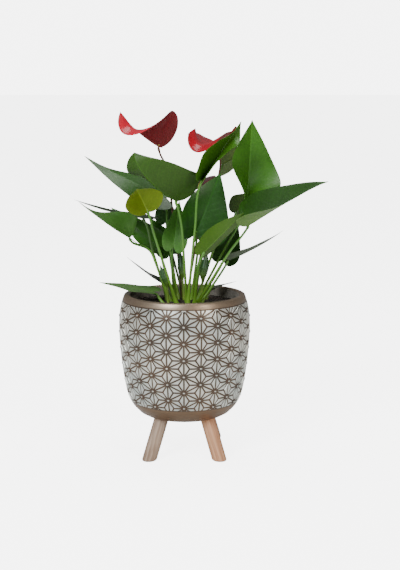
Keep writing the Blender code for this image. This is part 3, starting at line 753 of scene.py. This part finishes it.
COLUMNS = 24
ROW_PITCH = 0.0197  # between stars, up and down
TOP_STAR = 0.1405  # above the pot's underside
BAND_LOW = 0.0180
BAND_HIGH = 0.1402
LIP_FROM = 0.1406  # where the plain lip's colour starts, above the underside
FOOT_TO = 0.0178  # where the plain base's colour ends
LINE_WIDTH = 0.0019
PANEL_RISE = 0.00045
PANEL_SLOPE = 0.00025


def pot_outer_radius(height):
    """The pot's outer radius at heights above its underside, on a smooth line through the curve."""
    shares = np.asarray(height, float) / POT_HEIGHT
    z = [s for s, _ in POT_CURVE]
    r = [v for _, v in POT_CURVE]
    sharp = np.interp(shares, z, r)
    soft = sum(np.interp(shares + d, z, r) for d in (-0.03, -0.015, 0, 0.015, 0.03)) / 5
    ease = np.clip((shares - 0.05) / 0.05, 0, 1) * np.clip((0.95 - shares) / 0.05, 0, 1)
    return POT_RADIUS * (sharp + (soft - sharp) * ease)


def soil_radius():
    lip_inner = float(pot_outer_radius(POT_HEIGHT)) - LIP_WALL
    inner = lip_inner + SOIL_DEPTH_BELOW_LIP * INNER_SLOPE
    return min(float(pot_outer_radius(POT_HEIGHT - SOIL_DEPTH_BELOW_LIP)) - POT_WALL, inner)


def turned(section, segments):
    """Points and faces of a section turned about the pot's axis. It starts and ends on the axis."""
    points = [AXIS + Vector((0, 0, section[0][1]))]
    rings = section[1:-1]
    for radius, height in rings:
        for step in range(segments):
            angle = 2 * math.pi * step / segments
            points.append(AXIS + Vector((radius * math.cos(angle), radius * math.sin(angle), height)))
    last = len(points)
    points.append(AXIS + Vector((0, 0, section[-1][1])))
    faces = []
    for step in range(segments):
        after = (step + 1) % segments
        faces.append((0, 1 + after, 1 + step))
        for ring in range(len(rings) - 1):
            low = 1 + ring * segments
            faces.append((low + step, low + after, low + segments + after, low + segments + step))
        top = 1 + (len(rings) - 1) * segments
        faces.append((top + step, top + after, last))
    return points, faces


def pot_body():
    """The pot without its panels: base, ground of the band, rounded lip and inner wall."""
    section = [(0, 0)]
    heights = np.concatenate([[0, 0.0006, 0.0022, 0.0045], np.linspace(0.0075, 0.1442, 56)])
    for height in heights:
        radius = float(pot_outer_radius(height))
        inset = 0.0004 if BAND_LOW < height < BAND_HIGH else 0.0
        section.append((radius - inset, height))
    outer = float(pot_outer_radius(POT_HEIGHT))
    middle = outer - LIP_WALL / 2
    start = POT_CURVE[-1][0] * POT_HEIGHT
    for step in range(1, 14):
        angle = math.pi * step / 14
        section.append((middle + LIP_WALL / 2 * math.cos(angle),
                        start + (POT_HEIGHT - start) * math.sin(angle)))
    for share in (0.95, 0.90, 0.75, 0.55, 0.35, 0.22, 0.13):
        height = POT_HEIGHT * share
        inner = outer - LIP_WALL + (POT_HEIGHT - height) * INNER_SLOPE
        section.append((min(float(pot_outer_radius(height)) - POT_WALL, inner), height))
    section.append((section[-1][0] * 0.86, POT_FLOOR))
    section.append((0, POT_FLOOR))
    section = [(radius, POT_BASE + height) for radius, height in section]
    points, faces = turned(section, 192)
    body = make_piece("pot_body", points, faces, "pot", "pot", pot_metal_material(), 35)
    body.data.materials.append(pot_inside_material())
    for face in body.data.polygons:
        away = Vector((face.center.x - AXIS.x, face.center.y - AXIS.y, 0)).normalized()
        if face.normal.dot(away) < -0.9 or (face.center.z > POT_BASE + 0.008 and away.length < 0.04):
            face.material_index = 1
    return body


def star_place(column, row):
    """A star's place on the unrolled band: round the pot, and above its underside."""
    shift = 0.5 if column % 2 else 0.0
    return Vector((column * 2 * math.pi * POT_RADIUS / COLUMNS, TOP_STAR - (row + shift) * ROW_PITCH, 0))


def cell_triangles():
    """The triangles of one repeat of the pattern, two columns wide, each cut in three."""
    pieces = []
    for column in (0, 1):
        for row in range(-2, 8):
            here = star_place(column, row)
            below = star_place(column, row + 1)
            side_row = row if column % 2 == 0 else row + 1
            beside = star_place(column + 1, side_row)
            beside_below = star_place(column + 1, side_row + 1)
            pieces += [(here, below, beside), (below, beside_below, beside)]
    cut = []
    for a, b, c in pieces:
        middle = (a + b + c) / 3
        cut += [(a, b, middle), (b, c, middle), (c, a, middle)]
    return cut


def clipped(corners, level, keep_above):
    """A flat polygon cut off at a height."""
    kept = []
    for here, after in zip(corners, corners[1:] + corners[:1]):
        inside = (here.y >= level) == keep_above
        after_inside = (after.y >= level) == keep_above
        if inside:
            kept.append(here)
        if inside != after_inside:
            share = (level - here.y) / (after.y - here.y)
            kept.append(here.lerp(after, share))
    return kept


def relief_cell():
    """One repeat of the raised panels, unrolled flat, fine enough to bend round the pot."""
    bm = bmesh.new()
    for corners in cell_triangles():
        shape = clipped(clipped(list(corners), BAND_LOW, True), BAND_HIGH, False)
        if len(shape) < 3:
            continue
        face = bm.faces.new([bm.verts.new(p) for p in shape])
        if face.calc_area() < 8e-6:
            bmesh.ops.delete(bm, geom=[face], context="FACES")
    bm.normal_update()
    for face in bm.faces:
        if face.normal.z < 0:
            face.normal_flip()
    ground = list(bm.faces)
    bmesh.ops.inset_individual(bm, faces=ground, thickness=LINE_WIDTH / 2, depth=0, use_even_offset=True)
    rims = [face for face in bm.faces if face not in set(ground)]
    bmesh.ops.delete(bm, geom=rims, context="FACES")
    bmesh.ops.inset_individual(bm, faces=ground, thickness=PANEL_SLOPE, depth=PANEL_RISE,
                               use_even_offset=True)
    width = 4 * math.pi * POT_RADIUS / COLUMNS
    cuts = 12
    for step in range(cuts * 2 + 1):
        place = Vector(((step / cuts - 0.5) * width, 0, 0))
        bmesh.ops.bisect_plane(bm, geom=bm.verts[:] + bm.edges[:] + bm.faces[:],
                               plane_co=place, plane_no=(1, 0, 0))
    for step in range(34):
        place = Vector((0, BAND_LOW + (step + 0.5) * (BAND_HIGH - BAND_LOW) / 34, 0))
        bmesh.ops.bisect_plane(bm, geom=bm.verts[:] + bm.edges[:] + bm.faces[:],
                               plane_co=place, plane_no=(0, 1, 0))
    return bm


def on_pot(place, lift):
    """A point of the unrolled band, put on the pot. Column 0 faces the front."""
    angle = place.x / POT_RADIUS - math.pi / 2
    radius = float(pot_outer_radius(place.y)) + lift
    return AXIS + Vector((radius * math.cos(angle), radius * math.sin(angle), POT_BASE + place.y))


def pot_relief(material):
    """The raised panels all round the pot, sunk a little into its ground."""
    cell = relief_cell()
    boundary = [edge for edge in cell.edges if edge.is_boundary]
    skirt = bmesh.ops.extrude_edge_only(cell, edges=boundary)["geom"]
    for vert in (v for v in skirt if isinstance(v, bmesh.types.BMVert)):
        vert.co.z -= 0.0012
    cell.verts.ensure_lookup_table()
    flat = [v.co.copy() for v in cell.verts]
    shapes = [[v.index for v in face.verts] for face in cell.faces]
    cell.free()
    points = []
    faces = []
    width = 4 * math.pi * POT_RADIUS / COLUMNS
    for turn in range(COLUMNS // 2):
        start = len(points)
        shift = Vector((turn * width, 0, 0))
        points += [on_pot(place + shift, place.z - 0.0003) for place in flat]
        faces += [[start + index for index in shape] for shape in shapes]
    return make_piece("pot_panels", points, faces, "pot", None, material, 20)


def pot_hubs(bronze, silver):
    """A low bronze boss at each star, with a small bright oval on it."""
    bosses = ([], [])
    dots = ([], [])
    for column in range(COLUMNS):
        for row in range(0, 7):
            centre = star_place(column, row)
            if not BAND_LOW + 0.002 < centre.y < BAND_HIGH - 0.001:
                continue
            add_dome(bosses, centre, 0.0023, 0.0023, 0.0000, 0.0007)
            add_dome(dots, centre, 0.0015, 0.0009, 0.0005, 0.0006)
    make_piece("pot_bosses", *bosses, "pot", None, bronze, 50)
    make_piece("pot_dots", *dots, "pot", None, silver, 60)


def add_dome(store, centre, across, tall, base, rise):
    """Adds a shallow dome on the pot to a pair of point and face lists."""
    points, faces = store
    start = len(points)
    sides = 14
    rings = ((1.0, -0.0008), (1.0, 0.0), (0.85, 0.55), (0.55, 0.88))
    for reach, height in rings:
        lift = base + (height if height < 0 else height * rise)
        for step in range(sides):
            angle = 2 * math.pi * step / sides
            spot = Vector((across * reach * math.cos(angle), tall * reach * math.sin(angle), 0))
            points.append(on_pot(centre + spot, lift))
    points.append(on_pot(centre, base + rise))
    faces += quad_rings(start, len(rings), sides)
    top = start + (len(rings) - 1) * sides
    for step in range(sides):
        faces.append((top + step, top + (step + 1) % sides, start + len(rings) * sides))
    faces.append(tuple(start + step for step in reversed(range(sides))))


def leg_piece(place, degrees, material):
    """A round dowel with an eased foot, its grain set by the field "wood"."""
    angle = math.radians(degrees)
    out = Vector((math.cos(angle), math.sin(angle), 0))
    across = Vector((-out.y, out.x, 0))
    slope = math.tan(LEG_SPLAY)
    sides = 40
    points = []
    field = []
    levels = [(0.0, 0.76), (0.0003, 0.86), (0.001, 0.95), (0.0022, 1.0)]
    levels += [(POT_BASE * share, 1.0) for share in np.linspace(0.08, 1.0, 16)]
    levels += [(POT_BASE + 0.002, 1.0), (POT_BASE + 0.004, 1.0)]
    for height, reach in levels:
        for step in range(sides):
            turn = 2 * math.pi * step / sides
            uneven = 1 + 0.006 * math.sin(3 * turn + degrees) + 0.004 * math.sin(5 * turn - height * 90)
            side = LEG_RADIUS * reach * uneven
            run = LEG_RING_RADIUS + (POT_BASE - height) * slope
            run += side * math.cos(turn) / math.cos(LEG_SPLAY)
            beside = side * math.sin(turn)
            top = height
            if height > POT_BASE:
                top = min(height, leg_top(run, beside))
            points.append(AXIS + out * run + across * beside + Vector((0, 0, top)))
            field.append((side * math.cos(turn) + degrees * 0.001, beside, height))
    faces = quad_rings(0, len(levels), sides)
    faces.append(tuple(reversed(range(sides))))
    faces.append(tuple(range((len(levels) - 1) * sides, len(levels) * sides)))
    name = "leg_" + place
    return make_piece(name + "_dowel", points, faces, "leg", name, material, 40, {"wood": field})


def leg_top(run, beside):
    """The height of the pot's underside over a point, a little inside its wall."""
    reach = math.hypot(run, beside)
    for height in np.linspace(0, 0.02, 41):
        if float(pot_outer_radius(height)) >= reach:
            return POT_BASE + float(height) + 0.0015
    return POT_BASE + 0.02


# ---------------------------------------------------------------- soil

def soil_piece(material):
    """The potting mix: a rough crumbly surface with loose crumbs and bark on top."""
    random.seed(7)
    radius = soil_radius() - 0.0006
    sectors = 150
    rings = 46
    points = [AXIS + Vector((0, 0, soil_top(0, 0)))]
    for ring in range(1, rings + 1):
        reach = radius * ring / rings
        for step in range(sectors):
            angle = 2 * math.pi * step / sectors
            x, y = reach * math.cos(angle), reach * math.sin(angle)
            bump = soil_bumps(x, y) * min(1, (rings - ring) / 3)
            points.append(AXIS + Vector((x, y, soil_top(x, y) + bump)))
    faces = []
    for step in range(sectors):
        after = (step + 1) % sectors
        faces.append((0, 1 + step, 1 + after))
        for ring in range(rings - 1):
            low = 1 + ring * sectors
            faces.append((low + step, low + sectors + step, low + sectors + after, low + after))
    rim = 1 + (rings - 1) * sectors
    bottom = len(points)
    for step in range(sectors):
        points.append(points[rim + step] - Vector((0, 0, 0.02)))
    for step in range(sectors):
        after = (step + 1) % sectors
        faces.append((rim + step, bottom + step, bottom + after, rim + after))
    faces.append(tuple(range(bottom, bottom + sectors)))
    make_piece("soil_surface", points, faces, "soil", "soil", material, 50)
    make_crumbs(radius, material)


def soil_bumps(x, y):
    """Lumps of the soil's surface, in metres."""
    coarse = noise.noise(Vector((x * 90, y * 90, 1.3)))
    fine = noise.noise(Vector((x * 330, y * 330, 4.1)))
    return 0.0013 * coarse + 0.0006 * fine


CRUMBS = 520


def make_crumbs(radius, material):
    """Crumbs and bark chips, each an uneven little lump half sunk in the soil."""
    points = []
    faces = []
    ball = bmesh.new()
    bmesh.ops.create_icosphere(ball, subdivisions=1, radius=1.0)
    shape = [v.co.copy() for v in ball.verts]
    sides = [[v.index for v in face.verts] for face in ball.faces]
    ball.free()
    for _ in range(CRUMBS):
        angle = random.uniform(0, 2 * math.pi)
        reach = (radius - 0.003) * math.sqrt(random.random())
        x, y = reach * math.cos(angle), reach * math.sin(angle)
        size = random.uniform(0.0006, 0.0017)
        stretch = Vector((random.uniform(0.8, 1.9), random.uniform(0.7, 1.2), random.uniform(0.5, 0.9)))
        turn = random.uniform(0, math.pi)
        start = len(points)
        centre = AXIS + Vector((x, y, soil_top(x, y) + soil_bumps(x, y) + size * 0.2))
        for corner in shape:
            rough = 1 + 0.35 * random.uniform(-1, 1)
            local = Vector(a * b for a, b in zip(corner, stretch)) * size * rough
            turned_x = local.x * math.cos(turn) - local.y * math.sin(turn)
            turned_y = local.x * math.sin(turn) + local.y * math.cos(turn)
            points.append(centre + Vector((turned_x, turned_y, local.z)))
        faces += [[start + index for index in side] for side in sides]
    make_piece("soil_crumbs", points, faces, "soil", None, material, 30)


# ---------------------------------------------------------------- camera, light and floor

CAMERA_PITCH = 9.356  # degrees down


def make_camera():
    """The view from the front, a little above, through a long lens."""
    data = bpy.data.cameras.new("camera")
    data.lens = 80.0
    data.sensor_width = 36.0
    data.clip_end = 100
    camera = bpy.data.objects.new("camera", data)
    camera.location = AXIS + Vector((0.0186, -1.5, 0.451))
    camera.rotation_euler = (math.radians(90 - CAMERA_PITCH), 0, 0)
    bpy.context.scene.collection.objects.link(camera)
    bpy.context.scene.camera = camera


LAMP_AIM = Vector((0, 0, 0.2))


def add_light(name, place, size, watts, colour=(1, 1, 1)):
    data = bpy.data.lights.new(name, "AREA")
    data.shape = "RECTANGLE"
    data.size = size[0]
    data.size_y = size[1]
    data.energy = watts
    data.color = colour
    lamp = bpy.data.objects.new(name, data)
    lamp.location = place
    lamp.rotation_euler = (LAMP_AIM - Vector(place)).to_track_quat("-Z", "Y").to_euler()
    bpy.context.scene.collection.objects.link(lamp)


def make_stage():
    """A wide pale floor that runs out into a white surround, and soft lamps."""
    mesh = bpy.data.meshes.new("floor")
    reach = 30.0
    corners = [(-reach, -reach, 0), (reach, -reach, 0), (reach, reach, 0), (-reach, reach, 0)]
    mesh.from_pydata(corners, [], [(0, 1, 2, 3)])
    floor = bpy.data.objects.new("floor", mesh)
    bpy.context.scene.collection.objects.link(floor)
    n = Nodes("pale_floor")
    glow = n.math("MULTIPLY", n.add("LightPath").outputs["Is Camera Ray"], 5.0)
    n.set(Base_Color=srgb(240, 240, 239), Roughness=0.8, Emission_Color=(1.0, 1.0, 1.0, 1.0))
    n.set(Emission_Strength=glow)
    mesh.materials.append(n.material)
    world = bpy.data.worlds.new("surround")
    world.use_nodes = True
    tree = world.node_tree
    dim = tree.nodes["Background"]
    dim.inputs["Color"].default_value = (1, 1, 1, 1)
    dim.inputs["Strength"].default_value = 0.20
    bright = tree.nodes.new("ShaderNodeBackground")
    bright.inputs["Color"].default_value = (1, 1, 1, 1)
    bright.inputs["Strength"].default_value = 6.0
    seen = tree.nodes.new("ShaderNodeLightPath")
    both = tree.nodes.new("ShaderNodeMixShader")
    tree.links.new(seen.outputs["Is Camera Ray"], both.inputs[0])
    tree.links.new(dim.outputs[0], both.inputs[1])
    tree.links.new(bright.outputs[0], both.inputs[2])
    tree.links.new(both.outputs[0], tree.nodes["World Output"].inputs["Surface"])
    bpy.context.scene.world = world
    add_light("key", (-1.0, -1.7, 1.5), (0.8, 1.1), 58, (0.95, 0.98, 1.0))
    add_light("fill", (1.2, -1.5, 1.0), (0.5, 0.9), 17, (1.0, 0.93, 0.84))
    add_light("top", (0.1, 0.3, 2.0), (1.0, 1.0), 22)


# ---------------------------------------------------------------- the whole plant

# Upper face and underside of each leaf. The darker greens of the leaves that sit in shade,
# such as leaf_05, leaf_09 and leaf_16, are partly their own colour and partly painted shade.
LEAF_COLOURS = {
    "leaf_01": ((44, 80, 8), (42, 74, 8)),
    "leaf_02": ((37, 75, 19), (46, 74, 18)),
    "leaf_03": ((86, 104, 20), (92, 110, 26)),
    "leaf_04": ((58, 98, 36), (62, 92, 32)),
    "leaf_05": ((34, 58, 20), (50, 72, 28)),
    "leaf_06": ((48, 92, 26), (80, 110, 40)),
    "leaf_07": ((42, 86, 22), (76, 106, 36)),
    "leaf_08": ((74, 124, 48), (84, 118, 44)),
    "leaf_09": ((28, 60, 18), (60, 90, 34)),
    "leaf_10": ((32, 76, 18), (70, 104, 34)),
    "leaf_11": ((56, 98, 22), (84, 120, 40)),
    "leaf_12": ((48, 92, 18), (84, 118, 38)),
    "leaf_13": ((32, 68, 10), (86, 122, 46)),
    "leaf_14": ((44, 72, 20), (54, 78, 26)),
    "leaf_15": ((48, 78, 16), (62, 92, 26)),
    "leaf_16": ((24, 54, 12), (50, 80, 28)),
    "leaf_17": ((26, 48, 16), (46, 66, 32)),
    "leaf_18": ((40, 50, 38), (60, 68, 56)),
    "leaf_19": ((78, 114, 56), (92, 118, 66)),
    "leaf_20": ((44, 58, 32), (60, 70, 46)),
    "leaf_21": ((48, 78, 20), (88, 114, 40)),
}


def make_plant():
    green_stem = stem_material("petiole_green", srgb(112, 154, 48), srgb(78, 128, 42), srgb(52, 96, 28))
    # The second petiole material is a darker copy of the green one: painted shade for the stems of the
    # leaves in the set shaded, which sit in shade.
    painted_shade_stem = stem_material("petiole_painted_shade", srgb(96, 126, 44), srgb(60, 100, 34), srgb(40, 72, 24))
    red_stem = stem_material("flower_stalk", srgb(104, 108, 52), srgb(122, 74, 58), srgb(88, 60, 44))
    shaded = {"leaf_05", "leaf_06", "leaf_07", "leaf_09", "leaf_16", "leaf_18", "leaf_20"}
    for name, leaf in LEAVES.items():
        upper, under = (srgb(*shade) for shade in LEAF_COLOURS[name])
        material = leaf_material(name + "_green", upper, under)
        outline = BLUNT_OUTLINE if name in BLUNT_LEAVES else LEAF_OUTLINE
        blade_piece(name, leaf, outline, material, "leaf")
        stem = painted_shade_stem if name in shaded else green_stem
        stem_piece(name + "_stem", leaf, STEM_RADIUS, stem, "leaf_stem")
    young = stem_material("young_leaf_green", srgb(134, 162, 60), srgb(34, 78, 30), srgb(24, 58, 22))
    for name, leaf in YOUNG_LEAVES.items():
        young_leaf_piece(name, leaf, young)
    spadix = spadix_material()
    reds = {
        "flower_left": (srgb(178, 30, 46), srgb(126, 40, 46)),
        "flower_right": (srgb(160, 18, 32), srgb(126, 24, 30)),
        "flower_low": (srgb(74, 10, 18), srgb(70, 12, 20)),
    }
    for name, flower in FLOWERS.items():
        flower["relief"] = 3.0
        flower["vein_spacing"] = 7.0
        red = spathe_material(name + "_red", *reds[name])
        blade_piece(name + "_spathe", flower, SPATHE_OUTLINE, red, "spathe")
        stem_piece(name + "_stem", flower, FLOWER_STEM_RADIUS, red_stem, "flower_stem")
        spadix_piece(name + "_spadix", flower, spadix)


def make_planter():
    silver = pot_panel_material()
    body = pot_body()
    pot_relief(silver)
    pot_hubs(body.data.materials[0], silver)
    greyed = wood_material("leg_grey", srgb(176, 152, 132), srgb(132, 106, 86), srgb(150, 134, 120))
    warm = wood_material("leg_warm", srgb(206, 158, 122), srgb(176, 122, 88), srgb(196, 152, 112))
    leg_piece("front_left", 228, greyed)
    leg_piece("front_right", 312, warm)
    leg_piece("back_right", 54, greyed)
    leg_piece("back_left", 126, warm)


make_camera()
make_stage()
make_planter()
soil_piece(soil_material())
make_plant()
